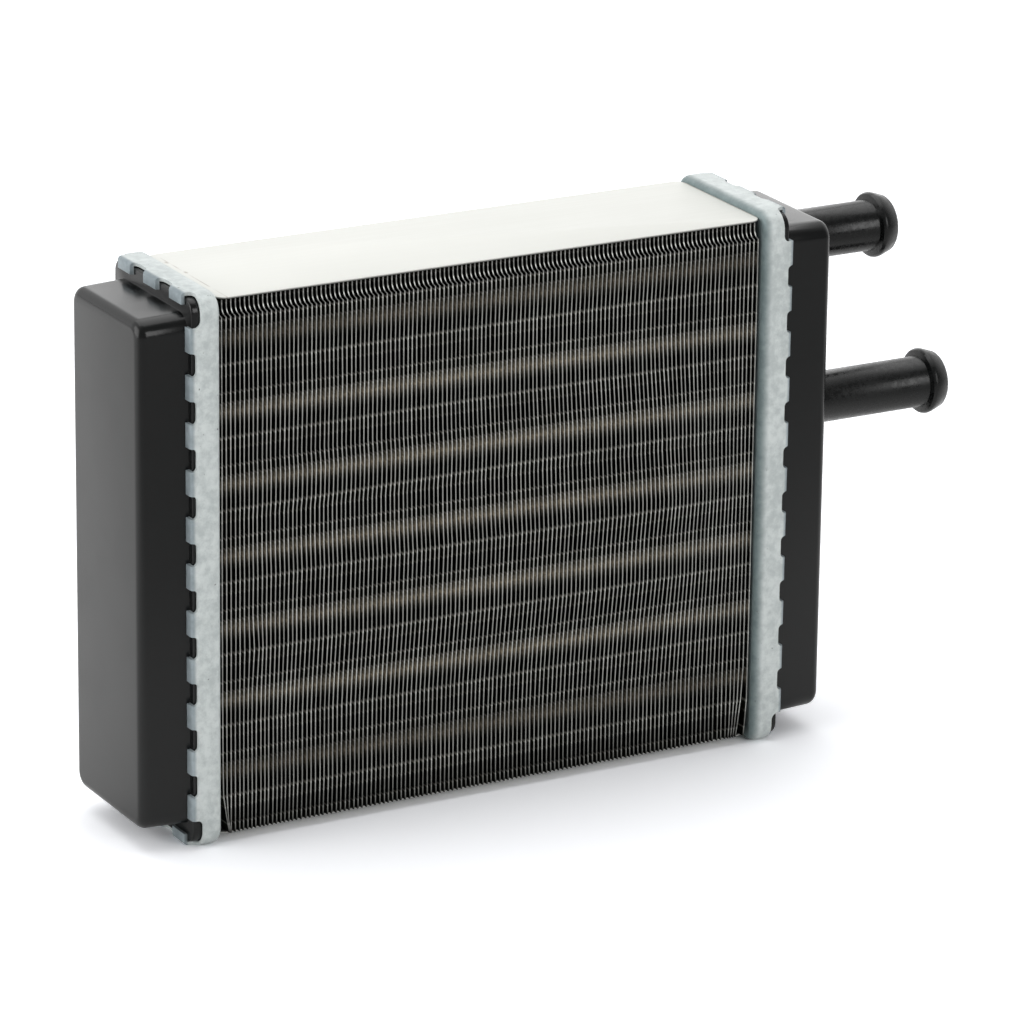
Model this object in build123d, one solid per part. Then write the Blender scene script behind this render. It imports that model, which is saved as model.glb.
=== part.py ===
from build123d import *
import os
from math import radians, tan

# Heater core. X runs along the tubes with the hose stubs at +X, Y from the front face to the back, Z up.
# The origin is the middle of the underside of the core's lower side plate.

# Core block
core_length = 172.2
core_height = 157.0
core_depth = 46.0
side_plate_thickness = 0.6
side_plate_corner = 3.0
lower_side_plate_inset = 2.0

# Fins
fin_pitch = 1.37
fin_thickness = 0.3
fin_end_margin = 1.0

# Tubes
tube_diameter = 8.0
tube_wall = 0.5
tube_sides = 8
tube_rows = 7
tube_end_margin = 15.5
tube_columns = 2
tube_column_pitch = 21.0
tube_clearance = 0.05
tube_projection = 1.5

# Header plates: pressed trays whose tabs are folded over the tank feet
header_rim_at_faces = 2.5
header_rim_at_ends = 2.0
header_corner_radius = 5.5
header_sheet = 1.0
header_bend = 1.8
header_wall_height = 7.6
long_side_tab_count = 11
long_side_tab_width = 7.0
long_side_corner_gap = 12.5
short_side_tab_count = 3
short_side_tab_width = 7.5
short_side_corner_gap = 9.3
corner_notch_depth = 1.5
tab_fold = 3.4
tab_bend = 0.8

# Gaskets
gasket_thickness = 2.5
gasket_width = 4.0
gasket_web_width = 3.0

# Tanks
foot_clearance = 0.3
foot_thickness = 5.0
tank_wall = 2.2
tank_side_inset = 3.4
tank_end_inset = 6.0
tank_corner_radius = 5.0
tank_edge_radius = 2.6
tank_draft = 2.0
plain_tank_height = 15.7
piped_tank_height = 17.3
divider_thickness = 2.0

# Hose stubs
stub_diameter = 15.0
stub_bore = 11.0
stub_root_flare = 1.0
upper_stub_length = 37.8
upper_stub_drop = 17.6
lower_stub_length = 43.4
stub_spacing = 42.9
bead_diameter = 19.3
bead_land = 1.2
bead_back_length = 1.0
bead_nose_length = 4.2
bead_tip_diameter = 16.2

# Places that follow from the sizes
header_middle = core_height / 2
header_depth = core_depth + 2 * header_rim_at_faces
header_height = core_height + 2 * header_rim_at_ends
header_base = core_length / 2
foot_seat = header_sheet + gasket_thickness
foot_top = foot_seat + foot_thickness
fold_top = foot_top + header_sheet
long_side_tab_pitch = (header_height - 2 * long_side_corner_gap) / (long_side_tab_count - 1)
short_side_tab_pitch = (header_depth - 2 * short_side_corner_gap) / (short_side_tab_count - 1)
tube_row_pitch = (core_height - 2 * tube_end_margin) / (tube_rows - 1)
fin_height = core_height - 2 * side_plate_thickness
tube_length = core_length + 2 * (foot_seat + tube_projection)
foot_depth = header_depth - 2 * (header_sheet + foot_clearance)
foot_height = header_height - 2 * (header_sheet + foot_clearance)
foot_corner_radius = header_corner_radius - header_sheet - foot_clearance
stub_side_offset = tube_column_pitch / 2
upper_stub_z = core_height - upper_stub_drop
lower_stub_z = upper_stub_z - stub_spacing


def end_plane(side):
    """Plane on a header's core face, looking out from the core, with Y or -Y as x and Z as y."""
    return Plane(origin=(side * header_base, 0, header_middle), x_dir=(0, side, 0), z_dir=(side, 0, 0))


def grid(columns, column_pitch, rows, row_pitch):
    """Centres of a grid around the middle, as pairs."""
    return [
        ((column - (columns - 1) / 2) * column_pitch, (row - (rows - 1) / 2) * row_pitch)
        for row in range(rows)
        for column in range(columns)
    ]


tube_places = grid(tube_columns, tube_column_pitch, tube_rows, tube_row_pitch)


def tube_prism(diameter, length):
    """Round section centred on the origin along Z, drawn with flats because it comes so many times."""
    section = RegularPolygon(diameter / 2, tube_sides)
    return extrude(section, length / 2, both=True)


def rounded_block(width, height, radius, thickness, level=0.0):
    """Rounded rectangle extruded along local Z from the given level."""
    outline = Pos(0, 0, level) * RectangleRounded(width, height, radius)
    return extrude(outline, thickness)


def tab(width):
    """One folded tab, on a wall whose outer face is local X = 0 and whose inside is at -X."""
    section = Polyline(
        (0, header_wall_height),
        (0, fold_top - tab_bend),
        (-tab_bend, fold_top),
        (-tab_fold, fold_top),
        (-tab_fold, foot_top),
        (-header_sheet, foot_top),
        (-header_sheet, header_wall_height),
        close=True,
    )
    return extrude(make_face(Plane.XZ * section), width / 2, both=True)


def header_plate(side):
    """Pressed tray with tube holes and folded tabs, its wall notched deeper at the corners."""
    outer = rounded_block(header_depth, header_height, header_corner_radius, header_wall_height)
    outer = chamfer(outer.faces().sort_by(Axis.Z)[0].edges(), header_bend)
    inner = rounded_block(
        header_depth - 2 * header_sheet,
        header_height - 2 * header_sheet,
        header_corner_radius - header_sheet,
        header_wall_height,
        header_sheet,
    )
    holes = [
        Pos(x, y) * tube_prism(tube_diameter + 2 * tube_clearance, 2 * header_sheet)
        for x, y in tube_places
    ]
    notch = Box(short_side_corner_gap, long_side_corner_gap, 2 * corner_notch_depth)
    notch_x = header_depth / 2 + (short_side_tab_width - short_side_corner_gap) / 2
    notch_y = header_height / 2 + (long_side_tab_width - long_side_corner_gap) / 2
    notches = [Pos(x * notch_x, y * notch_y, header_wall_height) * notch for x in (-1, 1) for y in (-1, 1)]
    plate = outer - inner - holes - notches
    tabs = []
    for count, pitch, width, half, turn in (
        (long_side_tab_count, long_side_tab_pitch, long_side_tab_width, header_depth / 2, 0),
        (short_side_tab_count, short_side_tab_pitch, short_side_tab_width, header_height / 2, 90),
    ):
        folded = tab(width)
        for index in range(count):
            along = (index - (count - 1) / 2) * pitch
            tabs.append(Rot(0, 0, turn) * Pos(half, along, 0) * folded)
            tabs.append(Rot(0, 0, turn + 180) * Pos(half, along, 0) * folded)
    return end_plane(side) * plate.fuse(*tabs)


def gasket(side, has_web):
    """Flat rubber seal under a tank foot, with a middle web where the tank is divided."""
    outline = rounded_block(foot_depth, foot_height, foot_corner_radius, gasket_thickness, header_sheet)
    window = Box(foot_depth - 2 * gasket_width, foot_height - 2 * gasket_width, 4 * foot_seat)
    seal = outline - window
    if has_web:
        web = Pos(0, 0, header_sheet) * Box(
            gasket_web_width,
            foot_height - gasket_width,
            gasket_thickness,
            align=(Align.CENTER, Align.CENTER, Align.MIN),
        )
        seal = seal + web
    return end_plane(side) * seal


def tank_shell(height):
    """Moulded cover: a foot flange with a drafted, rounded box on it, and the cavity that hollows it."""
    end = header_wall_height + height
    body_depth = header_depth - 2 * tank_side_inset
    body_height = header_height - 2 * tank_end_inset
    body_outline = Pos(0, 0, foot_seat) * RectangleRounded(body_depth, body_height, tank_corner_radius)
    body = extrude(body_outline, end - foot_seat, taper=tank_draft)
    body = fillet(body.faces().sort_by(Axis.Z)[-1].edges(), tank_edge_radius)
    foot = rounded_block(foot_depth, foot_height, foot_corner_radius, foot_thickness, foot_seat)
    room = 2 * (tank_wall + (end - foot_seat) * tan(radians(tank_draft)))
    cavity = Pos(0, 0, foot_seat) * Box(
        body_depth - room,
        body_height - room,
        end - foot_seat - tank_wall,
        align=(Align.CENTER, Align.CENTER, Align.MIN),
    )
    return body + foot, cavity


def stub(length):
    """Hose stub with its bead, turned about local Z and flared where it leaves the tank's end face at Z = 0."""
    radius = stub_diameter / 2
    crest = bead_diameter / 2
    nose = length - bead_nose_length
    profile = Polyline(
        (0, -tank_wall / 2),
        (radius + stub_root_flare, -tank_wall / 2),
        (radius + stub_root_flare, 0),
        (radius, stub_root_flare),
        (radius, nose - bead_land - bead_back_length),
        (crest, nose - bead_land),
        (crest, nose),
        (bead_tip_diameter / 2, length),
        (0, length),
        close=True,
    )
    return revolve(make_face(Plane.XZ * profile), Axis.Z)


def plain_tank():
    """Return tank without connections, on the -X end."""
    cover, cavity = tank_shell(plain_tank_height)
    return end_plane(-1) * (cover - cavity)


def piped_tank():
    """Divided tank with the two hose stubs, on the +X end."""
    cover, cavity = tank_shell(piped_tank_height)
    end = header_wall_height + piped_tank_height
    divider = Box(divider_thickness, 2 * header_height, 4 * end)
    tank = cover - (cavity - divider)
    for x, z, length in (
        (stub_side_offset, upper_stub_z, upper_stub_length),
        (-stub_side_offset, lower_stub_z, lower_stub_length),
    ):
        place = Pos(x, z - header_middle, end)
        tank = tank + place * stub(length)
        bore = Cylinder(stub_bore / 2, length + 2 * tank_wall, align=(Align.CENTER, Align.CENTER, Align.MIN))
        tank = tank - place * Pos(0, 0, -2 * tank_wall) * bore
    return end_plane(1) * tank


def side_plate(level, depth):
    """Flat sheet that closes the fin pack above or below, lying on the given level."""
    sheet = Box(core_length, depth, side_plate_thickness, align=(Align.CENTER, Align.CENTER, Align.MIN))
    sheet = chamfer(sheet.edges().filter_by(Axis.Z), side_plate_corner)
    return Pos(0, 0, level) * sheet


def fin():
    """One fin at X = 0: a thin sheet with one window that fits round the whole block of tubes."""
    fit = tube_diameter + 2 * tube_clearance
    window = Box(
        2 * fin_thickness,
        (tube_columns - 1) * tube_column_pitch + fit,
        (tube_rows - 1) * tube_row_pitch + fit,
    )
    return Pos(0, 0, header_middle) * (Box(fin_thickness, core_depth, fin_height) - window)


def fin_pack():
    """All fins, evenly pitched between the header plates."""
    count = int((core_length - 2 * fin_end_margin) / fin_pitch) + 1
    one = fin()
    return Compound(children=[Pos((index - (count - 1) / 2) * fin_pitch, 0, 0) * one for index in range(count)])


def tube(y, z):
    """One round tube through both header plates."""
    outer = tube_prism(tube_diameter, tube_length)
    inner = tube_prism(tube_diameter - 2 * tube_wall, tube_length)
    return Pos(0, y, header_middle + z) * Rot(0, 90, 0) * (outer - inner)


parts = {
    "plain_tank": plain_tank(),
    "piped_tank": piped_tank(),
    "plain_end_header_plate": header_plate(-1),
    "piped_end_header_plate": header_plate(1),
    "plain_end_gasket": gasket(-1, False),
    "piped_end_gasket": gasket(1, True),
    "upper_side_plate": side_plate(header_middle + core_height / 2 - side_plate_thickness, core_depth),
    "lower_side_plate": side_plate(header_middle - core_height / 2, core_depth - 2 * lower_side_plate_inset),
    "fin_pack": fin_pack(),
}
for number, (tube_y, tube_z) in enumerate(tube_places):
    column = ("front", "back")[number % tube_columns] if tube_columns == 2 else f"column_{number % tube_columns + 1}"
    parts[f"tube_{column}_{number // tube_columns + 1}"] = tube(tube_y, tube_z)

os.makedirs("parts", exist_ok=True)
for name, shape in parts.items():
    shape.label = name
    export_step(shape, f"parts/{name}.step")
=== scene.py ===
"""Looks of a heater core: folded header plates, moulded tanks with stubs, fins and bright side plates."""

import logging
import math
import random
from contextlib import contextmanager
from dataclasses import dataclass
from enum import Enum
from typing import Callable, ClassVar, Iterator, Sequence

import bmesh
import bpy
import numpy as np
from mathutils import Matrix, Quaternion, Vector


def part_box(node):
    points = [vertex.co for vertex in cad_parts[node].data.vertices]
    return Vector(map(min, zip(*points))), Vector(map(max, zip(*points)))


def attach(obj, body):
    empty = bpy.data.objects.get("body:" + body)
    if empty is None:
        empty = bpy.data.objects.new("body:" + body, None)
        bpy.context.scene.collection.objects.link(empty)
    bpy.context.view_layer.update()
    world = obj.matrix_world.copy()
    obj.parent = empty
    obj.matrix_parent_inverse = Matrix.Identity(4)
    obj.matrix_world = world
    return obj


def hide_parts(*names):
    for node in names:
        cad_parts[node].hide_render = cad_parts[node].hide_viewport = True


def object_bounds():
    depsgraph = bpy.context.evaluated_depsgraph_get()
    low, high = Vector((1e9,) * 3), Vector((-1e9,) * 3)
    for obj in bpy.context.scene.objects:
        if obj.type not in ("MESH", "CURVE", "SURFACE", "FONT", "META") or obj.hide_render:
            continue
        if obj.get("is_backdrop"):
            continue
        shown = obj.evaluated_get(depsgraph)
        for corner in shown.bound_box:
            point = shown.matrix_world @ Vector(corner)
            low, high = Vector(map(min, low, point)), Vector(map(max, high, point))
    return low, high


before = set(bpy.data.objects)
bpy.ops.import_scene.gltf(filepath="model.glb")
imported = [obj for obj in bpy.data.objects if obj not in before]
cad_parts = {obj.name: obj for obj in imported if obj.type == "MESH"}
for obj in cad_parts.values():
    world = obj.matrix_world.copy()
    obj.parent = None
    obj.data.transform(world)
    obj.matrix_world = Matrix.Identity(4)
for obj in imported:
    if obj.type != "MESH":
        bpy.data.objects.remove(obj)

logging.basicConfig(level=logging.INFO, format="%(message)s")
log = logging.getLogger("heater_core")

# Places nearer than NEAR are the same, and edges that turn by more than SHARP are sharp.
# ALONG_X lays Z along X. Most of a noise lies in BULK.
MM = 0.001
NEAR = 1e-6
SHARP = math.radians(35.0)
ALONG_X = (0.0, math.pi / 2, 0.0)
BULK = (0.3, 0.7)
Span = tuple[float, float]
Point = tuple[float, float, float]
Test = Callable[[Vector, Vector], bool]
Socket = bpy.types.NodeSocket
Piece = bpy.types.Object
Material = bpy.types.Material


class Side(Enum):
    """The two ends of the core, by the sign of their X."""

    PLAIN = -1
    PIPED = 1

    @property
    def label(self) -> str:
        """Name of the end in the node names."""
        return self.name.lower()


class Wall(Enum):
    """The walls of a header plate that a notch can pass through."""

    LONG = "long"
    SHORT = "short"
    CORNER = "corner"


class Kind(Enum):
    """What can be picked from a mesh that is being edited."""

    EDGE = "EDGE"
    FACE = "FACE"


class Slot(Enum):
    """The record's material slots."""

    TANK = "tank_plastic"
    HEADER = "header_sheet"
    SIDE = "side_sheet"
    FIN = "fin_sheet"


# Modelling helpers


def choose(*pieces: Piece) -> None:
    """Selects only these pieces and makes the first one active."""
    bpy.ops.object.select_all(action="DESELECT")
    for piece in pieces:
        piece.select_set(True)
    bpy.context.view_layer.objects.active = pieces[0]


@contextmanager
def editing(piece: Piece) -> Iterator[None]:
    """Holds a piece in edit mode.

    Args:
        piece: the mesh object to shape.
    """
    choose(piece)
    bpy.ops.object.mode_set(mode="EDIT")
    try:
        yield
    finally:
        bpy.ops.object.mode_set(mode="OBJECT")


def pick(piece: Piece, kind: Kind, test: Test) -> None:
    """Selects the edges or faces that pass a test, with the piece in edit mode.

    Args:
        piece: the mesh object being edited.
        kind: edges or faces.
        test: takes the places of an edge's two ends, or a face's centre and normal.
    """
    bpy.ops.mesh.select_mode(type=kind.value)
    bpy.ops.mesh.select_all(action="DESELECT")
    mesh = bmesh.from_edit_mesh(piece.data)
    if kind is Kind.EDGE:
        for edge in mesh.edges:
            edge.select_set(test(edge.verts[0].co, edge.verts[1].co))
    else:
        for face in mesh.faces:
            face.select_set(test(face.calc_center_median(), face.normal))
    bmesh.update_edit_mesh(piece.data)


def both_at(x: float) -> Test:
    """Makes the test for edges that lie across X at one place."""
    return lambda a, b: max(abs(a.x - x), abs(b.x - x)) < NEAR


def settled(name: str) -> Piece:
    """Names the piece that was just added, moves its place into its mesh and returns it."""
    piece = bpy.context.active_object
    piece.name = piece.data.name = name
    bpy.ops.object.transform_apply(location=True, rotation=True, scale=True)
    return piece


def bevel(radius: float, segments: int) -> None:
    """Rounds the selected edges to a radius, in metres, with so many faces across the round."""
    bpy.ops.mesh.bevel(
        offset=radius, offset_type="OFFSET", segments=segments, profile=0.5, affect="EDGES")


def block(
    name: str, low: Sequence[float], high: Sequence[float], radius: float = 0.0, segments: int = 0,
) -> Piece:
    """Adds a block between two corners, with its place in its mesh.

    Args:
        name: the new piece's name.
        low: one corner, in metres.
        high: the opposite corner, in metres.
        radius: the radius of its four edges along X, in metres; 0 leaves them sharp.
        segments: the number of faces across each of them.

    Returns:
        The new piece.
    """
    a, b = Vector(low), Vector(high)
    bpy.ops.mesh.primitive_cube_add(size=1.0, location=(a + b) / 2, scale=[abs(c) for c in b - a])
    piece = settled(name)
    if radius:
        with editing(piece):
            pick(piece, Kind.EDGE, lambda a, b: abs(a.x - b.x) > NEAR)
            bevel(radius, segments)
    return piece


def rod(centre: Sequence[float], radius: float, length: float, sides: int) -> Piece:
    """Adds a rod along X, with its place in its mesh.

    Args:
        centre: its middle, in metres.
        radius: its radius, in metres.
        length: its length, in metres.
        sides: the number of faces round it.

    Returns:
        The new piece.
    """
    bpy.ops.mesh.primitive_cylinder_add(
        vertices=sides, radius=radius, depth=length, location=centre, rotation=ALONG_X)
    return settled("rod")


def apply_modifier(piece: Piece, kind: str, **settings: object) -> None:
    """Adds a modifier, sets it and applies it.

    Args:
        piece: the mesh object to change.
        kind: the modifier's type.
        settings: the modifier's properties.
    """
    choose(piece)
    modifier = piece.modifiers.new(kind.title(), kind)
    for key, value in settings.items():
        setattr(modifier, key, value)
    bpy.ops.object.modifier_apply(modifier=modifier.name)


def combine(piece: Piece, others: Sequence[Piece], operation: str) -> None:
    """Cuts other pieces out of a piece or unites them with it, and deletes them.

    Args:
        piece: the mesh object that stays.
        others: the mesh objects that are used up.
        operation: DIFFERENCE or UNION.
    """
    for other in others:
        apply_modifier(piece, "BOOLEAN", object=other, operation=operation, solver="EXACT")
        bpy.data.objects.remove(other)


def join(pieces: Sequence[Piece]) -> Piece:
    """Joins pieces into the first one and returns it."""
    choose(*pieces)
    bpy.ops.object.join()
    return pieces[0]


# Finishes


@dataclass(frozen=True)
class Grain:
    """A noise: its cells per metre, the number and strength of its finer layers, and its stretch."""

    scale: float
    detail: float = 3.0
    rough: float = 0.5
    stretch: Point = (1.0, 1.0, 1.0)


class Board:
    """Node tree of one material or world, with short calls that add and join nodes."""

    def __init__(self, owner: Material | bpy.types.World) -> None:
        """Starts an empty board.

        Args:
            owner: the new material or world that the nodes belong to.
        """
        owner.use_nodes = True
        self.tree = owner.node_tree
        self.tree.nodes.clear()

    def add(
        self, kind: str, inputs: dict[str | int, object] | None = None, **settings: object,
    ) -> bpy.types.Node:
        """Adds a node.

        Args:
            kind: the node's type.
            inputs: socket names or numbers, each with a value or with the socket to join it to.
            settings: the node's own properties.

        Returns:
            The new node.
        """
        node = self.tree.nodes.new(kind)
        for key, value in settings.items():
            setattr(node, key, value)
        for key, value in (inputs or {}).items():
            if isinstance(value, Socket):
                self.tree.links.new(value, node.inputs[key])
            else:
                node.inputs[key].default_value = value
        return node

    def split(self, place: Socket) -> tuple[Socket, ...]:
        """Splits a place into X, Y and Z."""
        return tuple(self.add("ShaderNodeSeparateXYZ", {0: place}).outputs)

    def math(self, operation: str, *values: Socket | float) -> Socket:
        """Adds a math node on up to three values and returns its result."""
        return self.add("ShaderNodeMath", dict(enumerate(values)), operation=operation).outputs[0]

    def rays(self) -> tuple[Socket, Socket]:
        """Tells whether a ray comes from the camera or through glass, and whether it is a reflection."""
        ray = self.add("ShaderNodeLightPath").outputs
        return self.math("MAXIMUM", ray["Is Camera Ray"], ray["Is Transmission Ray"]), ray["Is Glossy Ray"]

    def away(self, value: Socket, place: float) -> Socket:
        """Returns the distance of a value from a place."""
        return self.math("ABSOLUTE", self.math("SUBTRACT", value, place))

    def ramp(self, value: Socket, span: Span, to: Span = (0.0, 1.0)) -> Socket:
        """Maps a value from one range to another, smoothly and clamped, and returns the result."""
        inputs = dict(zip(("Value", "From Min", "From Max", "To Min", "To Max"), (value, *span, *to)))
        return self.add("ShaderNodeMapRange", inputs, interpolation_type="SMOOTHSTEP").outputs[0]

    def mix(self, share: Socket, a: Socket | Point, b: Socket | Point) -> Socket:
        """Mixes two colours, or levels of grey: a share of 0 gives a, and of 1 gives b."""
        a, b = (colour if isinstance(colour, Socket) else (*colour, 1.0) for colour in (a, b))
        return self.add("ShaderNodeMix", {0: share, 6: a, 7: b}, data_type="RGBA").outputs[2]

    def bands(self, value: Socket, stops: Sequence[tuple[float, Point]]) -> Socket:
        """Maps a value from 0 to 1 to a colour that runs through given stops.

        Args:
            value: the value to map.
            stops: places from 0 to 1 in order, each with its colour.

        Returns:
            The colour.
        """
        node = self.add("ShaderNodeValToRGB", {"Fac": value})
        elements = node.color_ramp.elements
        for _ in range(len(stops) - len(elements)):
            elements.new(0.5)
        for element, (where, colour) in zip(elements, stops):
            element.position, element.color = where, (*colour, 1.0)
        return node.outputs["Color"]

    def output(self, shader: bpy.types.Node, kind: str = "ShaderNodeOutputMaterial") -> None:
        """Adds the output and joins a shader to it."""
        self.add(kind, {"Surface": shader.outputs[0]})

    def times(self, *colours: Socket | Point) -> Socket:
        """Multiplies colours, or levels of grey, and returns the result."""
        result = colours[0]
        for other in colours[1:]:
            node = self.add("ShaderNodeVectorMath", {0: result, 1: other}, operation="MULTIPLY")
            result = node.outputs[0]
        return result


class Finish(Board):
    """Board of one material on its piece's own place."""

    def __init__(self, name: str) -> None:
        """Starts a material.

        Args:
            name: the material's name.
        """
        self.material = bpy.data.materials.new(name)
        super().__init__(self.material)
        self.place = self.add("ShaderNodeTexCoord").outputs["Object"]
        self.x, self.y, self.z = self.split(self.place)

    def noise(self, grain: Grain) -> Socket:
        """Adds a noise over the piece's own place, from 0 to 1."""
        where = self.add("ShaderNodeMapping", {"Vector": self.place, "Scale": grain.stretch}).outputs[0]
        return self.add("ShaderNodeTexNoise", {
            "Vector": where, "Scale": grain.scale, "Detail": grain.detail, "Roughness": grain.rough,
        }).outputs["Fac"]

    def bump(self, height: Socket, distance: float, strength: float) -> Socket:
        """Adds a bump of a depth, in metres, and returns its normal."""
        inputs = {"Height": height, "Distance": distance, "Strength": strength}
        return self.add("ShaderNodeBump", inputs).outputs[0]

    def surface(self, inputs: dict[str, object]) -> Material:
        """Adds the shader and the output and returns the finished material."""
        self.output(self.add("ShaderNodeBsdfPrincipled", inputs))
        return self.material


@dataclass(frozen=True)
class MouldedPlastic:
    """Black glass-filled plastic with a smooth, slightly cloudy skin, scuffed on the hose stubs."""

    name: str = "moulded_plastic"
    dark: Point = (0.0045, 0.005, 0.005)
    light: Point = (0.0075, 0.008, 0.008)
    cloud: Grain = Grain(60.0, 4.0)
    roughness: Span = (0.15, 0.26)
    refraction: float = 1.5
    shine: float = 0.45
    speckle: Grain = Grain(1500.0, 2.0)
    speckle_depth: float = 0.03 * MM
    speckle_strength: float = 0.4
    scuffs: Grain = Grain(700.0, 5.0, 0.7)
    scuffs_span: Span = (0.35, 0.65)
    scuffed_from: Span = (111.0 * MM, 113.0 * MM)
    scuff: float = 0.16

    def make(self) -> Material:
        """Makes the material."""
        board = Finish(self.name)
        cloud = board.noise(self.cloud)
        scuffed = board.ramp(board.x, self.scuffed_from, (0.0, self.scuff))
        scuffed = board.math("MULTIPLY", scuffed, board.ramp(board.noise(self.scuffs), self.scuffs_span))
        return board.surface({
            "Base Color": board.mix(cloud, self.dark, self.light),
            "Roughness": board.math("ADD", board.ramp(cloud, BULK, self.roughness), scuffed),
            "IOR": self.refraction,
            "Specular IOR Level": self.shine,
            "Normal": board.bump(board.noise(self.speckle), self.speckle_depth, self.speckle_strength),
        })


@dataclass(frozen=True)
class PressedSheet:
    """Dull grey sheet metal with a mottled zinc-like skin and a few dark specks, with painted shade at its
    bends and top.
    """

    name: str = "pressed_sheet"
    dark: Point = (0.58, 0.632, 0.627)
    light: Point = (0.785, 0.837, 0.827)
    blotch: Grain = Grain(420.0, 6.0, 0.65)
    blotch_share: float = 0.65
    cloud: Grain = Grain(70.0)
    mottle_span: Span = (0.36, 0.64)
    speck: Point = (0.16, 0.17, 0.17)
    specks: Grain = Grain(900.0, 2.0)
    specks_span: Span = (0.73, 0.78)
    # Painted shade on the folded tabs.
    fold: Point = (0.50, 0.54, 0.58)
    fold_shade_span: Span = (94.0 * MM, 95.1 * MM)
    # Painted shade on the bend by the core face, which faces the dark fins; deeper on the piped end.
    root: Point = (0.32, 0.375, 0.385)
    root_shade_span: Span = (85.2 * MM, 88.0 * MM)
    root_shade_aside: float = 0.9 * MM
    # Painted shade: the top of the header plate a little darker.
    top: Point = (0.85, 0.85, 0.85)
    top_shade_span: Span = (157.8 * MM, 158.6 * MM)
    roughness: Span = (0.34, 0.52)
    metallic: float = 0.12
    shine: float = 0.15
    blotch_depth: float = 0.04 * MM
    blotch_strength: float = 0.7

    def make(self) -> Material:
        """Makes the material."""
        board = Finish(self.name)
        blotch = board.noise(self.blotch)
        share = board.math(
            "ADD", board.math("MULTIPLY", blotch, self.blotch_share),
            board.math("MULTIPLY", board.noise(self.cloud), 1.0 - self.blotch_share))
        skin = board.mix(board.ramp(share, self.mottle_span), self.dark, self.light)
        # Painted shade on the top.
        skin = board.mix(board.ramp(board.z, self.top_shade_span), skin, board.times(skin, self.top))
        # Painted shade: darker on the folded tabs.
        at_fold_shade = board.ramp(board.away(board.x, 0.0), self.fold_shade_span)
        skin = board.mix(at_fold_shade, skin, board.times(skin, self.fold))
        # Painted shade: darker on the bend by the core face.
        off_root_shade = board.ramp(board.away(board.x, self.root_shade_aside), self.root_shade_span)
        skin = board.mix(off_root_shade, board.times(skin, self.root), skin)
        specks = board.ramp(board.noise(self.specks), self.specks_span)
        return board.surface({
            "Base Color": board.mix(specks, skin, self.speck),
            "Roughness": board.ramp(blotch, BULK, self.roughness),
            "Metallic": self.metallic,
            "Specular IOR Level": self.shine,
            "Normal": board.bump(blotch, self.blotch_depth, self.blotch_strength),
        })


@dataclass(frozen=True)
class RolledSheet:
    """Bright rolled aluminium with faint lines, a dark line and smudges near its plain end, painted shade
    at its seam.
    """

    name: str = "rolled_sheet"
    dark: Point = (0.735, 0.74, 0.697)
    light: Point = (0.78, 0.785, 0.742)
    cloud: Grain = Grain(30.0)
    # Colour of the smudges and the dark line, and of the painted shade at the seam.
    smudge_and_shade: Point = (0.42, 0.38, 0.33)
    # A thin dark line across the sheet near its plain end, broken by gaps.
    dark_line: float = -83.2 * MM
    dark_line_half_width: float = 0.35 * MM
    dark_line_strength: float = 0.75
    dark_line_gaps: Grain = Grain(160.0)
    dark_line_gaps_span: Span = (0.35, 0.6)
    # Painted shade where the sheet meets the header plate on the piped end.
    seam_shade_span: Span = (85.3 * MM, 86.0 * MM)
    seam_shade_strength: float = 0.8
    smudges: tuple[Span, ...] = ((-83.6 * MM, 13.9 * MM), (-83.0 * MM, 3.0 * MM))
    smudge_shape: Span = (1.4, 0.7)
    smudge_reach: float = 1.1 * MM
    smudge_strength: float = 0.9
    middle: float = 78.5 * MM
    edge_span: Span = (78.0 * MM, 78.48 * MM)
    inner_shade: float = 0.12
    lines: Grain = Grain(900.0, 3.0, 0.6, (0.02, 1.0, 1.0))
    lines_depth: float = 0.01 * MM
    lines_strength: float = 0.5
    roughness: Span = (0.40, 0.52)
    shine: float = 0.3

    def marks_and_shade(self, board: Finish) -> Socket:
        """Adds the share of the dark colour: at the dark line, in the smudges, and as painted shade at the
        seam.

        Args:
            board: the sheet's board.

        Returns:
            The share of the dark colour, from 0 to 1.
        """
        line = board.ramp(
            board.away(board.x, self.dark_line), (0.0, self.dark_line_half_width), (self.dark_line_strength, 0.0))
        marks_and_shade = board.math("MULTIPLY", line, board.ramp(board.noise(self.dark_line_gaps), self.dark_line_gaps_span))
        # Painted shade at the seam on the piped end.
        marks_and_shade = board.math("MAXIMUM", marks_and_shade, board.ramp(board.x, self.seam_shade_span, (0.0, self.seam_shade_strength)))
        for smudge in self.smudges:
            squares = []
            for value, middle, factor in zip((board.x, board.y), smudge, self.smudge_shape):
                off = board.math("MULTIPLY", board.math("SUBTRACT", value, middle), factor)
                squares.append(board.math("MULTIPLY", off, off))
            away = board.math("SQRT", board.math("ADD", *squares))
            here = board.ramp(away, (0.0, self.smudge_reach), (self.smudge_strength, 0.0))
            marks_and_shade = board.math("MAXIMUM", marks_and_shade, here)
        return marks_and_shade

    def make(self) -> Material:
        """Makes the material."""
        board = Finish(self.name)
        shade = board.ramp(board.away(board.z, self.middle), self.edge_span, (self.inner_shade, 1.0))
        lines = board.noise(self.lines)
        clean = board.mix(board.noise(self.cloud), self.dark, self.light)
        return board.surface({
            "Base Color": board.times(board.mix(self.marks_and_shade(board), clean, self.smudge_and_shade), shade),
            "Roughness": board.ramp(lines, BULK, self.roughness),
            "Specular IOR Level": self.shine,
            "Normal": board.bump(lines, self.lines_depth, self.lines_strength),
        })


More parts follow.
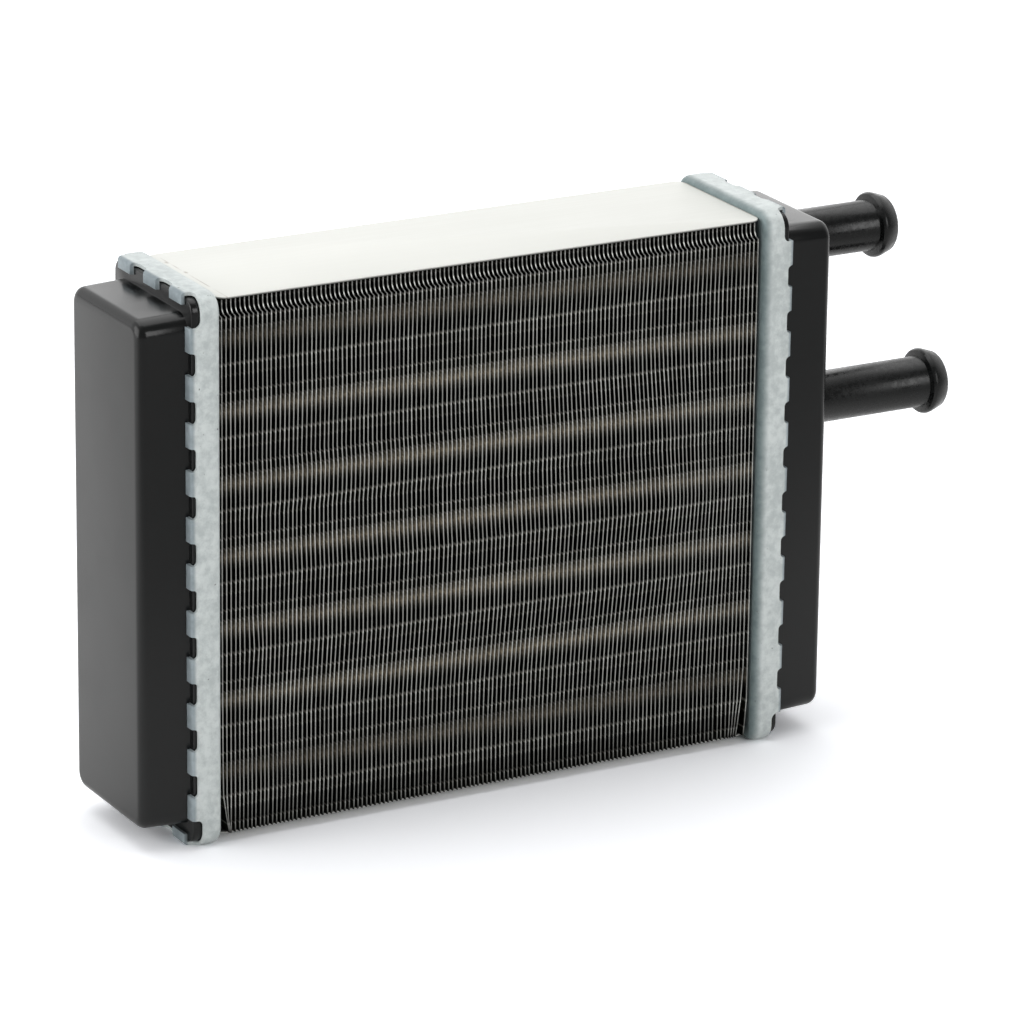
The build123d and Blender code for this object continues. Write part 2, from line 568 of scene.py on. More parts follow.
@dataclass(frozen=True)
class FinSheet:
    """Thin dull aluminium, light along the open edges, with pressed ridges and painted light on its walls.

    The walls between the edges are too narrow to be lit, so their colour is painted light: painted shade in
    the gaps, a painted highlight at each ridge and a warm painted reflection of the tubes at each row.
    Heights are in millimetres, in wall and open_edge from a ridge to the same one of the next row, in whole
    from the bottom up.
    """

    name: str = "fin_sheet"
    edge: Point = (0.545, 0.548, 0.52)
    half_depth: float = 23.0 * MM
    edge_reach: float = 0.16 * MM
    first_ridge: float = 11.4
    row_pitch: float = 21.0
    full_height: float = 157.0
    edge_most: float = 4.0
    whole_most: float = 2.7
    each_fin: Grain = Grain(1.0, 1.0, 0.5, (700.0, 0.0, 40.0))
    each_level: Span = (0.78, 1.12)
    # Patches of brighter and darker painted light on the walls.
    wall_mottle: Grain = Grain(1300.0, 3.0, 0.6, (1.0, 0.5, 1.0))
    wall_mottle_level: Span = (0.50, 1.20)
    # Painted shade: the walls darker towards both ends of the core.
    end_shade_span: Span = (20.0 * MM, 84.0 * MM)
    end_shade_level: Span = (1.08, 0.80)
    roughness: float = 0.6
    shine: float = 0.1
    # Painted light on the walls: shade in the gaps, a highlight at each ridge and a warm reflection of the
    # tubes at each row.
    wall: tuple[tuple[float, Point], ...] = (
        (0.0, (0.5, 0.5, 0.44)), (0.4, (0.22, 0.22, 0.19)), (0.75, (0.003, 0.003, 0.002)),
        (3.6, (0.003, 0.003, 0.002)), (5.2, (0.1, 0.095, 0.08)), (6.2, (0.3, 0.275, 0.22)),
        (7.5, (0.62, 0.55, 0.43)), (8.7, (0.36, 0.33, 0.26)), (9.6, (0.17, 0.16, 0.13)),
        (10.0, (0.4, 0.39, 0.34)), (10.4, (0.022, 0.022, 0.014)), (12.6, (0.016, 0.016, 0.01)),
        (13.0, (0.42, 0.42, 0.37)), (13.4, (0.003, 0.003, 0.002)), (17.6, (0.003, 0.003, 0.002)),
        (18.0, (0.12, 0.12, 0.1)), (18.4, (0.016, 0.016, 0.01)), (20.6, (0.022, 0.022, 0.015)),
        (21.0, (0.5, 0.5, 0.44)),
    )
    # Painted highlight: the open edges brighter at the ridges and dimmer between them.
    open_edge: tuple[Span, ...] = (
        (0.0, 1.36), (0.8, 0.72), (3.6, 0.72), (6.0, 0.92), (7.5, 1.08), (9.4, 1.0), (10.0, 1.28),
        (10.4, 0.84), (12.6, 0.84), (13.0, 1.28), (13.4, 0.72), (17.6, 0.72), (18.0, 1.12), (18.4, 0.88),
        (20.5, 0.88), (21.0, 1.36),
    )
    # Painted light over the height: shade near the bottom, a bright highlight at the jog and dimmer near
    # the top.
    whole: tuple[Span, ...] = (
        (0.0, 0.1), (1.4, 0.14), (2.0, 0.55), (3.6, 0.6), (4.3, 0.4), (5.0, 0.62), (7.6, 0.68),
        (8.4, 0.95), (15.0, 1.0), (17.5, 0.75), (19.5, 0.6), (22.0, 0.75), (24.0, 1.0), (140.5, 1.0),
        (142.5, 0.8), (145.0, 0.6), (147.5, 0.75), (149.0, 1.0), (151.2, 1.15), (151.8, 0.45),
        (152.3, 0.5), (152.9, 2.6), (153.4, 2.7), (153.9, 0.9), (154.3, 0.6), (154.8, 0.8), (155.3, 0.85),
        (155.8, 0.6), (156.4, 0.5),
    )

    def make(self) -> Material:
        """Makes the material."""
        board = Finish(self.name)

        def levels(place: Socket, length: float, stops: Sequence[Span], most: float) -> Socket:
            """Adds a level that runs through stops along a length and may be over 1, up to most."""
            greys = [(at / length, (level / most,) * 3) for at, level in stops]
            return board.times(board.bands(place, greys), (most,) * 3)

        pitch = self.row_pitch * MM
        turn = board.math("SUBTRACT", board.z, self.first_ridge * MM)
        turn = board.math("DIVIDE", board.math("FLOORED_MODULO", turn, pitch), pitch)
        rise = board.math("DIVIDE", board.z, self.full_height * MM)
        # Painted light: the walls' colour stands for shade, ridge highlights and the tubes' reflection.
        wall = board.bands(turn, [(at / self.row_pitch, colour) for at, colour in self.wall])
        # Painted highlights on the edges at the ridges, and painted light over the height.
        rim = levels(turn, self.row_pitch, self.open_edge, self.edge_most)
        gain = levels(rise, self.full_height, self.whole, self.whole_most)
        each = board.ramp(board.noise(self.each_fin), BULK, self.each_level)
        wall_mottle = board.ramp(board.noise(self.wall_mottle), BULK, self.wall_mottle_level)
        # Painted shade towards both ends.
        aside = board.ramp(board.away(board.x, 0.0), self.end_shade_span, self.end_shade_level)
        inward = board.math("SUBTRACT", self.half_depth, board.away(board.y, 0.0))
        colour = board.mix(
            board.ramp(inward, (0.0, self.edge_reach)),
            board.times(rim, self.edge, gain, each), board.times(wall, gain, wall_mottle, aside))
        return board.surface({
            "Base Color": colour,
            "Roughness": self.roughness,
            "Specular IOR Level": self.shine,
        })


@dataclass(frozen=True)
class PlainStock:
    """Material of the pieces that lie hidden inside: drawn tube or black rubber."""

    name: str
    dark: Point
    light: Point
    roughness: float
    metallic: float
    cloud: Grain = Grain(150.0, 4.0)
    cloud_depth: float = 0.03 * MM
    cloud_strength: float = 0.5

    def make(self) -> Material:
        """Makes the material."""
        board = Finish(self.name)
        cloud = board.noise(self.cloud)
        return board.surface({
            "Base Color": board.mix(cloud, self.dark, self.light),
            "Roughness": self.roughness,
            "Metallic": self.metallic,
            "Normal": board.bump(cloud, self.cloud_depth, self.cloud_strength),
        })


def dress(piece: Piece, material: Material) -> None:
    """Gives a piece one material all over.

    Args:
        piece: the mesh object to dress.
        material: the material.
    """
    piece.data.materials.clear()
    piece.data.materials.append(material)
    piece.data.polygons.foreach_set("material_index", [0] * len(piece.data.polygons))


# Sizes shared by the pieces, in metres


@dataclass(frozen=True)
class Layout:
    """Sizes of the core that several pieces share.

    From base to fold_top they are distances from the middle of the core: of a header plate's core face, its
    notches' root, and the seat, foot and fold of its tank.
    """

    middle: float = 78.5 * MM
    core_depth: float = 46.0 * MM
    header_depth: float = 51.0 * MM
    header_height: float = 161.0 * MM
    header_corner: float = 5.5 * MM
    sheet: float = 1.0 * MM
    base: float = 86.1 * MM
    root: float = 93.7 * MM
    foot_seat: float = 89.6 * MM
    foot_top: float = 94.6 * MM
    fold_top: float = 95.6 * MM
    piped_tank_height: float = 17.3 * MM
    lower_plate_inset: float = 2.0 * MM
    tube_pitch: float = 21.0 * MM
    tube_rows: int = 7
    tube_columns: int = 2
    tube_diameter: float = 8.0 * MM

    def tube_places(self) -> Iterator[Span]:
        """Goes through the tubes' Y and Z."""
        for row in range(self.tube_rows):
            for column in range(self.tube_columns):
                y = (column - (self.tube_columns - 1) / 2) * self.tube_pitch
                yield y, self.middle + (row - (self.tube_rows - 1) / 2) * self.tube_pitch

    def corners(
        self, side: Side, x_in: float, x_out: float, inset: float, end_inset: float | None = None,
    ) -> tuple[Vector, Vector]:
        """Corners of a block on one end, inset from the header plate's outline.

        Args:
            side: the end of the core.
            x_in: distance of the inner face from the middle of the core.
            x_out: distance of the outer face from the middle of the core.
            inset: distance inside the outline.
            end_inset: the same at the top and the bottom, where it differs.

        Returns:
            Two opposite corners, at the bottom in front and at the top behind.
        """
        y = self.header_depth / 2 - inset
        z = self.header_height / 2 - (inset if end_inset is None else end_inset)
        low = Vector((side.value * x_in, -y, self.middle - z))
        return low, Vector((side.value * x_out, y, self.middle + z))


@dataclass
class Part:
    """A piece that stands for one CAD node."""

    layout: Layout
    node: str
    slot: ClassVar[Slot]
    edge: ClassVar[float]

    def shape(self) -> Piece:
        """Builds the piece's form."""
        raise NotImplementedError

    def build(self, material: Material) -> None:
        """Builds the piece, breaks its sharp edges, dresses it and lets it stand for its CAD node.

        Args:
            material: the piece's finish.
        """
        piece = self.shape()
        if self.edge:
            apply_modifier(
                piece, "BEVEL", width=self.edge, segments=2, limit_method="ANGLE", angle_limit=SHARP,
                use_clamp_overlap=True, miter_outer="MITER_ARC")
        choose(piece)
        bpy.ops.object.shade_smooth_by_angle(angle=SHARP)
        dress(piece, material)
        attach(piece, "root")
        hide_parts(self.node)
        piece.data.calc_loop_triangles()
        log.info("%s: %d triangles", piece.name, len(piece.data.loop_triangles))


@dataclass(frozen=True)
class TabRow:
    """Evenly spaced tabs along one wall."""

    count: int
    pitch: float
    width: float

    @property
    def end(self) -> float:
        """Distance from the middle of the row to the outer side of its last tab."""
        return (self.count - 1) / 2 * self.pitch + self.width / 2

    def gaps(self) -> Iterator[Span]:
        """Goes through the ranges between the tabs, from the middle of the row."""
        half = (self.pitch - self.width) / 2
        for index in range(self.count - 1):
            middle = (index - (self.count - 2) / 2) * self.pitch
            yield middle - half, middle + half


@dataclass
class HeaderPlate(Part):
    """Pressed tray whose tabs are folded over the tank foot."""

    slot = Slot.HEADER
    edge = 0.15 * MM
    side: Side
    bend_radius: float = 2.3 * MM
    fold_radius: float = 1.1 * MM
    fold_length: float = 3.4 * MM
    long_tabs: TabRow = TabRow(11, 13.6 * MM, 7.0 * MM)
    short_tabs: TabRow = TabRow(3, 16.2 * MM, 7.5 * MM)
    notch_rounds: ClassVar[dict[Wall, float]] = {
        Wall.LONG: 1.3 * MM, Wall.SHORT: 2.6 * MM, Wall.CORNER: 2.0 * MM}
    corner_notch_depth: float = 1.5 * MM
    overrun: float = 1.0 * MM

    def tray(self) -> Piece:
        """Builds the tray with its bent edges and a closed fold all round."""
        lay = self.layout
        low, high = lay.corners(self.side, lay.base, lay.fold_top, 0.0)
        plate = block(f"{self.side.label}_end_header", low, high, lay.header_corner, 10)
        with editing(plate):
            pick(plate, Kind.EDGE, both_at(self.side.value * lay.base))
            bevel(self.bend_radius, 6)
            pick(plate, Kind.EDGE, both_at(self.side.value * lay.fold_top))
            bevel(self.fold_radius, 4)
        return plate

    def hollows(self) -> list[Piece]:
        """Builds the room under the fold and the mouth inside it."""
        lay = self.layout
        hollows = []
        for name, x_out, inset, segments in (
            ("room", lay.foot_top, lay.sheet, 10),
            ("mouth", lay.fold_top + self.overrun, self.fold_length, 6),
        ):
            low, high = lay.corners(self.side, lay.base + lay.sheet, x_out, inset)
            hollows.append(block(name, low, high, lay.header_corner - inset, segments))
        return hollows

    def notch(self, wall: Wall, y: Sequence[float], z: Sequence[float]) -> Piece:
        """Builds one cutter with a rounded root.

        Args:
            wall: the wall that it passes through.
            y: the ends of its range along Y, in any order.
            z: the ends of its range along Z, from the middle.

        Returns:
            The cutter.
        """
        lay = self.layout
        depth = self.corner_notch_depth if wall is Wall.CORNER else 0.0
        root = self.side.value * (lay.root - depth)
        outside = self.side.value * (lay.fold_top + self.overrun)
        cutter = block("notch", (root, y[0], lay.middle + z[0]), (outside, y[1], lay.middle + z[1]))

        def rounded(a: Vector, b: Vector) -> bool:
            """Tells whether an edge is one of those at the root that are rounded."""
            across = {Wall.LONG: abs(a.z - b.z), Wall.SHORT: abs(a.y - b.y), Wall.CORNER: 0.0}[wall]
            return both_at(root)(a, b) and across < NEAR

        with editing(cutter):
            pick(cutter, Kind.EDGE, rounded)
            bevel(self.notch_rounds[wall], 6)
        return cutter

    def notches(self) -> Piece:
        """Builds the cutters that part the fold into tabs, as one piece."""
        depth, height = self.layout.header_depth / 2, self.layout.header_height / 2
        reach, past = self.fold_length + self.overrun, 3 * self.overrun
        cutters = []
        for sign in (-1, 1):
            for gap in self.long_tabs.gaps():
                y = (sign * (depth - reach), sign * (depth + self.overrun))
                cutters.append(self.notch(Wall.LONG, y, gap))
            for gap in self.short_tabs.gaps():
                z = (sign * (height - reach), sign * (height + self.overrun))
                cutters.append(self.notch(Wall.SHORT, gap, z))
            for sign_z in (-1, 1):
                y = (sign * self.short_tabs.end, sign * (depth + past))
                z = (sign_z * self.long_tabs.end, sign_z * (height + past))
                cutters.append(self.notch(Wall.CORNER, y, z))
        return join(cutters)

    def tube_holes(self) -> Piece:
        """Builds the rods that cut the tube holes, as one piece."""
        lay = self.layout
        return join([
            rod((self.side.value * lay.base, y, z), lay.tube_diameter / 2, 6 * lay.sheet, 24)
            for y, z in lay.tube_places()
        ])

    def shape(self) -> Piece:
        """Builds the header plate."""
        plate = self.tray()
        combine(plate, [*self.hollows(), self.notches(), self.tube_holes()], "DIFFERENCE")
        return plate


@dataclass
class Tank(Part):
    """Moulded end tank: a drafted body on a foot that the header plate holds."""

    slot = Slot.TANK
    edge = 0.2 * MM
    side: Side
    end: float
    side_inset: float = 3.4 * MM
    end_inset: float = 6.0 * MM
    foot_inset: float = 1.3 * MM
    corner_radius: float = 5.0 * MM
    edge_radius: float = 2.8 * MM
    draft: float = 0.6 * MM
    wall: float = 2.2 * MM
    foot_edge: float = 0.5 * MM
    overlap: float = 1.0 * MM

    def body(self) -> Piece:
        """Builds the tapered body with its rounded edges."""
        low, high = self.layout.corners(
            self.side, self.layout.foot_seat + self.overlap, self.end, self.side_inset, self.end_inset)
        body = block(f"{self.node}_cover", low, high, self.corner_radius, 10)
        face = self.side.value * self.end
        shrink = [1.0, *(1 - 2 * self.draft / (b - a) for a, b in zip(low[1:], high[1:]))]
        with editing(body):
            pick(body, Kind.FACE, lambda centre, normal: abs(centre.x - face) < NEAR)
            bpy.ops.transform.resize(value=shrink, center_override=(face, 0.0, self.layout.middle))
            pick(body, Kind.EDGE, both_at(face))
            bevel(self.edge_radius, 8)
        return body

    def foot(self) -> Piece:
        """Builds the foot under the folded tabs."""
        lay = self.layout
        low, high = lay.corners(self.side, lay.foot_seat, lay.foot_top, self.foot_inset)
        foot = block("foot", low, high, lay.header_corner - self.foot_inset, 8)
        with editing(foot):
            pick(foot, Kind.EDGE, both_at(self.side.value * lay.foot_top))
            bevel(self.foot_edge, 3)
        return foot

    def cavity(self) -> list[Piece]:
        """Builds the room inside the tank."""
        lay, inset = self.layout, self.wall + self.draft
        return [block("cavity", *lay.corners(
            self.side, lay.foot_seat - self.overlap, self.end - self.wall,
            self.side_inset + inset, self.end_inset + inset))]

    def shape(self) -> Piece:
        """Builds the tank."""
        tank = self.body()
        combine(tank, [self.foot()], "UNION")
        combine(tank, self.cavity(), "DIFFERENCE")
        return tank


@dataclass
class Stub:
    """Moulded hose stub with a bead near its mouth."""

    name: str
    y: float
    z: float
    start: float
    length: float
    radius: float = 7.5 * MM
    bore: float = 5.5 * MM
    root_radius: float = 1.2 * MM
    crest: float = 9.65 * MM
    bead_back: float = 1.0 * MM
    bead_land: float = 1.2 * MM
    bead_nose: float = 4.2 * MM
    bead_round: float = 0.45 * MM
    tip_radius: float = 8.1 * MM
    lip: float = 0.8 * MM
    bore_edge: float = 0.5 * MM
    wall: float = 2.2 * MM
    sides: int = 64

    def outline(self) -> list[Span]:
        """Outline from the root to the mouth and back down the bore, as distance along X and radius."""
        quarter = [(math.sin(turn), 1 - math.cos(turn)) for turn in np.linspace(0, math.pi / 2, 5)]
        inside = self.start - self.wall
        end = self.start + self.length
        nose = end - self.bead_nose
        land = nose - self.bead_land
        foot = land - self.bead_back
        small, lip = self.bead_round, self.lip
        lip_radius = self.tip_radius + (self.crest - self.tip_radius) / self.bead_nose * lip
        return [
            (inside, self.radius + self.root_radius),
            *(
                (self.start + self.root_radius * out, self.radius + self.root_radius * (1 - up))
                for up, out in quarter
            ),
            (foot - small, self.radius), (foot + 0.1 * MM, self.radius + small * 0.4),
            (land - small, self.crest - small), (land, self.crest - 0.1 * MM), (land + small, self.crest),
            (nose - small, self.crest), (nose + small, self.crest - 0.2 * MM),
            (end - lip, lip_radius),
            *((end - lip + lip * up, self.tip_radius - lip * out) for up, out in quarter[1:]),
            (end, self.bore + self.bore_edge), (end - self.bore_edge, self.bore), (inside, self.bore),
        ]

    def build(self) -> Piece:
        """Builds the stub as one closed ring of walls."""
        (x, radius), *rest = self.outline()
        first = both_at(x)
        bpy.ops.mesh.primitive_circle_add(
            vertices=self.sides, radius=radius, fill_type="NOTHING",
            location=(x, self.y, self.z), rotation=ALONG_X)
        stub = settled(self.name)
        with editing(stub):
            bpy.ops.mesh.select_mode(type="EDGE")
            bpy.ops.mesh.select_all(action="SELECT")
            for x_next, radius_next in rest:
                bpy.ops.mesh.extrude_region_move(TRANSFORM_OT_translate={"value": (x_next - x, 0, 0)})
                grow = radius_next / radius
                bpy.ops.transform.resize(value=(1, grow, grow), center_override=(x_next, self.y, self.z))
                x, radius = x_next, radius_next
            pick(stub, Kind.EDGE, first)
            bpy.ops.mesh.bridge_edge_loops()
            bpy.ops.mesh.select_all(action="SELECT")
            bpy.ops.mesh.normals_make_consistent(inside=False)
        return stub


@dataclass
class PipedTank(Tank):
    """End tank with a dividing wall and two hose stubs."""

    divider: float = 2.0 * MM
    stubs: tuple[Stub, ...] = ()

    def cavity(self) -> list[Piece]:
        """Builds the two rooms on either side of the dividing wall."""
        rooms = []
        half = self.layout.header_depth / 2 - self.side_inset - self.wall - self.draft
        for sign in (-1, 1):
            room = super().cavity()[0]
            with editing(room):
                pick(room, Kind.FACE, lambda centre, normal: normal.y * sign < -0.9)
                bpy.ops.transform.translate(value=(0, sign * (half + self.divider / 2), 0))
            rooms.append(room)
        return rooms

    def shape(self) -> Piece:
        """Builds the tank, opens its wall for the bores and adds the stubs."""
        tank = super().shape()
        for stub in self.stubs:
            drill = rod((self.end, stub.y, stub.z), stub.bore, 3 * self.wall, stub.sides)
            combine(tank, [drill], "DIFFERENCE")
            combine(tank, [stub.build()], "UNION")
        return tank


@dataclass
class SidePlate(Part):
    """Flat sheet over or under the fins."""

    slot = Slot.SIDE
    edge = 0.12 * MM
    level: float
    inset: float
    thickness: float = 0.6 * MM
    corner: float = 3.5 * MM

    def shape(self) -> Piece:
        """Builds the sheet."""
        lay = self.layout
        x, y = lay.base, lay.core_depth / 2 - self.inset
        sheet = block(f"{self.node}_sheet", (-x, -y, self.level), (x, y, self.level + self.thickness))
        with editing(sheet):
            pick(sheet, Kind.EDGE, lambda a, b: abs(a.z - b.z) > NEAR)
            bevel(self.corner, 6)
        return sheet


@dataclass
class FinPack(Part):
    """Bowed fins, with a jog near the top of each; the numbers without MM are in millimetres."""

    slot = Slot.FIN
    edge = 0.0
    pitch: float = 1.37 * MM
    margin: float = 1.0 * MM
    thickness: float = 0.30 * MM
    jog: tuple[Span, ...] = (
        (151.4, 0.0), (151.75, -0.35), (152.25, -0.76), (153.0, -1.06), (153.7, -1.24), (154.5, -1.33),
        (156.4, -1.33),
    )
    bow_x: tuple[float, ...] = (-85.5, -60.0, 0.0, 55.0, 85.5)
    # Height, then the shifts at the three inner places of bow_x
    bow: tuple[tuple[float, float, float, float], ...] = (
        (0.65, -1.6, -1.0, -0.5), (5.0, -1.5, -1.1, -0.6), (12.0, -1.3, -1.15, -0.6),
        (22.0, -1.3, -1.15, -0.6), (33.0, -1.3, -0.9, 0.0), (43.0, -0.9, -0.3, 0.6),
        (54.0, -0.3, 0.5, 1.6), (64.0, -0.3, 0.65, 1.6), (67.0, -0.25, 0.75, 1.7), (75.0, 0.0, 0.95, 2.4),
        (78.0, -0.1, 0.75, 2.4), (85.0, -0.3, 0.45, 2.0), (93.0, -0.3, 0.25, 1.4), (96.0, 0.0, 0.35, 1.4),
        (104.0, 0.2, 0.45, 1.0), (110.0, -0.15, 0.1, 0.5), (117.0, 0.0, -0.2, -0.1),
        (127.0, 0.2, -0.25, -0.6), (137.0, 0.1, -0.25, -0.6), (148.0, 0.2, 0.05, -0.1),
    )
    sway: float = 0.07
    sway_period: float = 17.0
    sway_phase: float = 6.0
    sway_fade: Span = (151.0, 10.0)
    dent_place: Span = (-74.7, 53.0)
    dent_reach: Span = (2.5, 6.0)
    dent_push: float = 0.5
    crush_power: float = 1.4
    # Number of the fin, the height that its bend reaches and the shift of its foot
    crushed: tuple[tuple[int, float, float], ...] = (
        (0, 14.0, 2.2), (1, 9.0, 1.3), (-1, 12.0, -0.9), (-2, 20.0, -2.2), (-3, 17.0, -1.5),
        (-4, 13.0, -0.9), (-5, 9.0, -0.4),
    )
    seed: int = 7

    @property
    def count(self) -> int:
        """Number of fins."""
        return int(2 * (self.layout.base - self.margin) / self.pitch) + 1

    def one(self) -> Piece:
        """Builds the first fin, at the plain end."""
        levels = [(row[0], 0.0) for row in self.bow] + list(self.jog)
        (low, _), (z, shift), *rest = [(z * MM, shift * MM) for z, shift in levels]
        x = -(self.count - 1) / 2 * self.pitch
        half, depth = self.thickness / 2, self.layout.core_depth / 2
        fin = block("fins", (x - half, -depth, low), (x + half, depth, z))
        with editing(fin):
            pick(fin, Kind.FACE, lambda centre, normal: normal.z > 0.9)
            for z_next, shift_next in rest:
                bpy.ops.mesh.extrude_region_move(
                    TRANSFORM_OT_translate={"value": (shift_next - shift, 0, z_next - z)})
                z, shift = z_next, shift_next
        return fin

    def bowed(self, x: float, z: np.ndarray) -> np.ndarray:
        """Returns the bow's shifts of the points at heights z of the fin at x, in millimetres."""
        here = [np.interp(x, self.bow_x, (0.0, *row[1:], 0.0)) for row in self.bow]
        return np.interp(z, [row[0] for row in self.bow], here)

    def jostle(self, fins: Piece) -> None:
        """Bows and dents the whole pack, sways each fin a little and bends a few at the lower corners.

        Args:
            fins: the fins, with the vertices of one after the other.
        """
        draw = random.Random(self.seed)
        places = np.empty(len(fins.data.vertices) * 3, np.float32)
        fins.data.vertices.foreach_get("co", places)
        places = places.reshape(self.count, -1, 3)
        crushed = {number % self.count: (reach, push) for number, reach, push in self.crushed}
        fade_end, fade_reach = self.sway_fade
        for number in range(self.count):
            x = (number - (self.count - 1) / 2) * self.pitch / MM
            z = places[number, :, 2] / MM
            shift = self.bowed(x, z)
            lean, wave, phase = draw.uniform(-1, 1), draw.uniform(-1, 1), draw.uniform(0, self.sway_phase)
            bend = lean + wave * np.sin(z / self.sway_period + phase)
            shift += bend * self.sway * np.clip((fade_end - z) / fade_reach, 0, 1)
            aside = (x - self.dent_place[0]) / self.dent_reach[0]
            along = (z - self.dent_place[1]) / self.dent_reach[1]
            shift += self.dent_push * np.exp(-(aside**2) - along**2)
            if number in crushed:
                reach, push = crushed[number]
                shift += push * np.clip(1 - z / reach, 0, 1) ** self.crush_power
            places[number, :, 0] += shift * MM
        fins.data.vertices.foreach_set("co", places.ravel())
        fins.data.update()

    def shape(self) -> Piece:
        """Builds the fins."""
        fins = self.one()
        apply_modifier(
            fins, "ARRAY", count=self.count, use_relative_offset=False,
            use_constant_offset=True, constant_offset_displace=(self.pitch, 0, 0))
        self.jostle(fins)
        return fins


def stand(thing: bpy.types.Object, place: Vector, facing: Vector, roll: float = 0.0) -> None:
    """Puts a lamp or camera into the scene.

    Args:
        thing: the lamp or camera.
        place: where it stands, in metres.
        facing: the direction it faces.
        roll: its turn about that direction, in degrees.
    """
    bpy.context.scene.collection.objects.link(thing)
    thing.location = place
    thing.rotation_mode = "QUATERNION"
    turn = Quaternion((0, 0, 1), math.radians(roll))
    thing.rotation_quaternion = facing.to_track_quat("-Z", "Y") @ turn


@dataclass(frozen=True)
class Lamp:
    """Soft square lamp that faces the part."""

    name: str
    place: Point
    size: float
    power: float
    aim: Point = (0.0, 0.0, 0.08)

    def add(self) -> None:
        """Adds the lamp."""
        data = bpy.data.lights.new(self.name, "AREA")
        data.shape, data.size, data.energy = "SQUARE", self.size, self.power
        place = Vector(self.place)
        stand(bpy.data.objects.new(self.name, data), place, Vector(self.aim) - place)


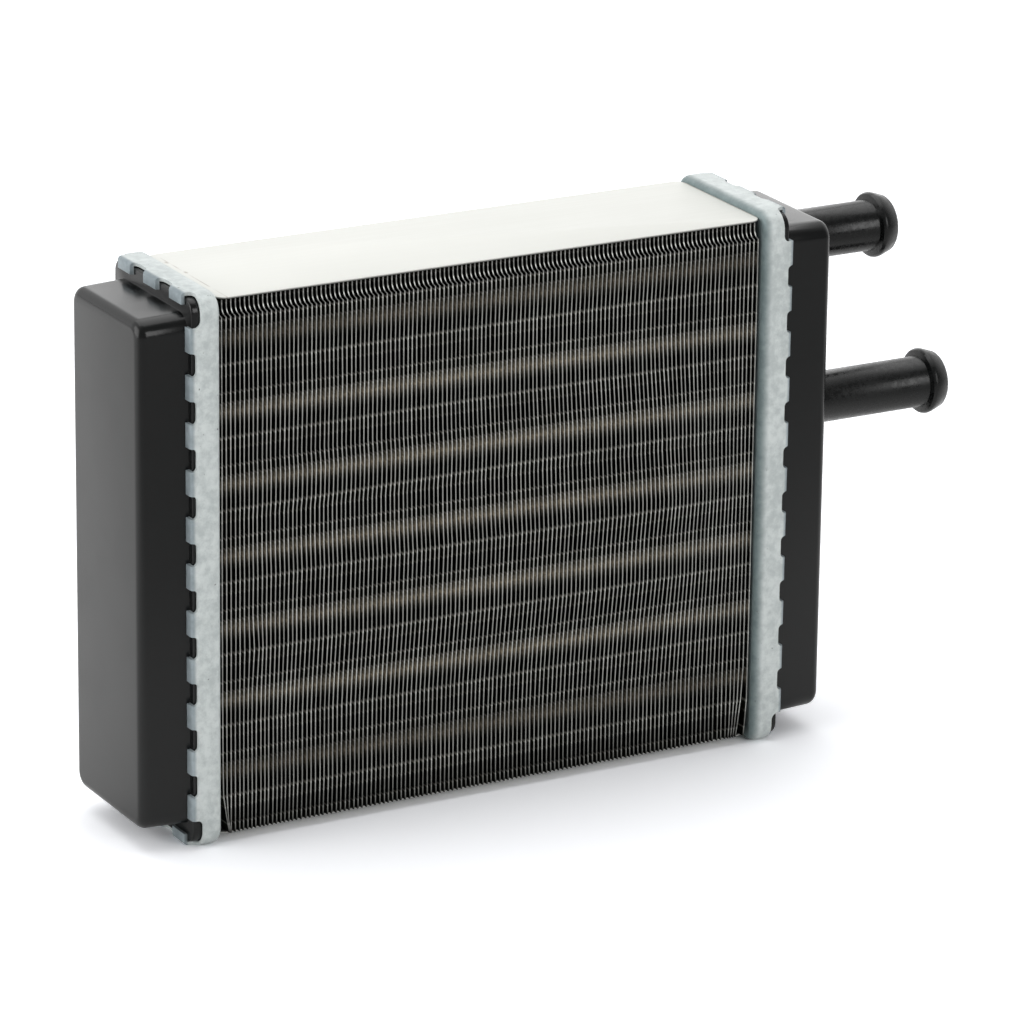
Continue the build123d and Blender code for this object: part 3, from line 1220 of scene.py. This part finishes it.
@dataclass(frozen=True)
class Studio:
    """Pale floor, soft lamps and the camera."""

    floor_level: float
    azimuth: float = -29.108
    elevation: float = 18.813
    roll: float = 0.72
    distance: float = 1.75486
    target: Point = (0.018186, -0.001086, 0.073126)
    lens: float = 215.66
    clip: Span = (0.1, 20.0)
    soft_slope: float = 0.40
    soft_level: float = 0.62
    soft_least: float = 0.25
    shine_slope: float = 1.2
    shine_level: float = 0.75
    shine_least: float = 0.15
    shine_most: float = 1.0
    floor_size: float = 12.0
    floor_shown: Point = (1.40, 1.412, 1.45)
    floor_plain: Point = (0.8, 0.8, 0.8)
    mirrored_span: Span = (-0.35, 0.15)
    mirrored_level: Span = (0.40, 1.0)
    lamps: tuple[Lamp, ...] = (
        Lamp("top_light", (0.1, 0.35, 1.5), 1.6, 9.0),
        Lamp("left_light", (-1.5, 0.1, 0.6), 1.2, 9.0),
        Lamp("front_light", (0.5, -1.6, 0.7), 0.8, 6.0),
        Lamp("back_light", (0.83, 1.49, 0.66), 1.2, 3.0),
    )

    def camera(self) -> None:
        """Adds the camera at the photo's angle."""
        a, e = math.radians(self.azimuth), math.radians(self.elevation)
        back = Vector((math.sin(a) * math.cos(e), -math.cos(a) * math.cos(e), math.sin(e)))
        data = bpy.data.cameras.new("camera")
        data.lens = self.lens
        data.clip_start, data.clip_end = self.clip
        camera = bpy.data.objects.new("camera", data)
        stand(camera, Vector(self.target) + back * self.distance, -back, self.roll)
        bpy.context.scene.camera = camera

    def world(self) -> None:
        """Sets a pale surrounding, dim towards the front, that a camera or glass sees as white."""
        world = bpy.data.worlds.new("studio")
        board = Board(world)
        along = board.split(board.add("ShaderNodeTexCoord").outputs["Generated"])[1]
        soft = board.math("MULTIPLY_ADD", along, self.soft_slope, self.soft_level)
        soft = board.math("MAXIMUM", soft, self.soft_least)
        shine = board.math("MULTIPLY_ADD", along, self.shine_slope, self.shine_level)
        shine = board.math("MINIMUM", board.math("MAXIMUM", shine, self.shine_least), self.shine_most)
        seen, glossy = board.rays()
        shown = board.math("MAXIMUM", seen, board.math("MULTIPLY", glossy, shine))
        other = board.math("SUBTRACT", 1.0, board.math("MAXIMUM", seen, glossy))
        level = board.math("ADD", shown, board.math("MULTIPLY", other, soft))
        view = board.add("ShaderNodeBackground", {"Strength": level, "Color": (1.0, 1.0, 1.0, 1.0)})
        board.output(view, "ShaderNodeOutputWorld")
        bpy.context.scene.world = world

    def floor(self) -> None:
        """Adds the floor, which shows as white with the part's shadow, and is dim in reflections."""
        bpy.ops.mesh.primitive_plane_add(size=self.floor_size, location=(0, 0, self.floor_level))
        floor = bpy.context.active_object
        floor.name = "floor"
        board = Finish("floor")
        seen, glossy = board.rays()
        mirrored = board.ramp(board.y, self.mirrored_span, self.mirrored_level)
        colours = (*self.floor_plain, 1.0), board.mix(glossy, self.floor_shown, mirrored)
        plain, lifted = (
            board.add("ShaderNodeBsdfDiffuse", {"Color": colour}).outputs[0] for colour in colours)
        share = board.math("MAXIMUM", seen, glossy)
        board.output(board.add("ShaderNodeMixShader", {0: share, 1: plain, 2: lifted}))
        floor.data.materials.append(board.material)
        floor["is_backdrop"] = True

    def build(self) -> None:
        """Sets up the whole studio."""
        self.floor()
        for lamp in self.lamps:
            lamp.add()
        self.world()
        self.camera()
        bpy.context.scene.view_settings.view_transform = "Standard"


def dress_inner_nodes() -> None:
    """Gives the CAD nodes that stay, the tubes and the gaskets, their own finishes."""
    tube = PlainStock("drawn_tube", (0.42, 0.36, 0.26), (0.62, 0.55, 0.44), 0.45, 0.6).make()
    rubber = PlainStock("gasket_rubber", (0.015, 0.015, 0.015), (0.03, 0.03, 0.03), 0.8, 0.0).make()
    for name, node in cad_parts.items():
        if name.startswith("tube"):
            dress(node, tube)
        if name.endswith("gasket"):
            dress(node, rubber)


def main() -> None:
    """Builds the heater core's pieces in order, then the studio."""
    cad_low, cad_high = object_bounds()
    layout = Layout()
    plastic = MouldedPlastic().make()
    pressed = PressedSheet().make()
    rolled = RolledSheet().make()
    fin_metal = FinSheet().make()
    dress_inner_nodes()
    FinPack(layout, "fin_pack").build(fin_metal)
    for name, inset in (("upper_side_plate", 0.0), ("lower_side_plate", layout.lower_plate_inset)):
        SidePlate(layout, name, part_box(name)[0].z, inset).build(rolled)
    for side in Side:
        HeaderPlate(layout, f"{side.label}_end_header_plate", side).build(pressed)
    Tank(layout, "plain_tank", Side.PLAIN, -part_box("plain_tank")[0].x).build(plastic)
    end = layout.root + layout.piped_tank_height
    offset = layout.tube_pitch / 2
    PipedTank(layout, "piped_tank", Side.PIPED, end, stubs=(
        Stub("upper_stub", y=offset, z=139.4 * MM, start=end, length=37.8 * MM),
        Stub("lower_stub", y=-offset, z=96.5 * MM, start=end, length=43.4 * MM),
    )).build(plastic)
    Studio(cad_low.z).build()


if __name__ == "__main__":
    main()
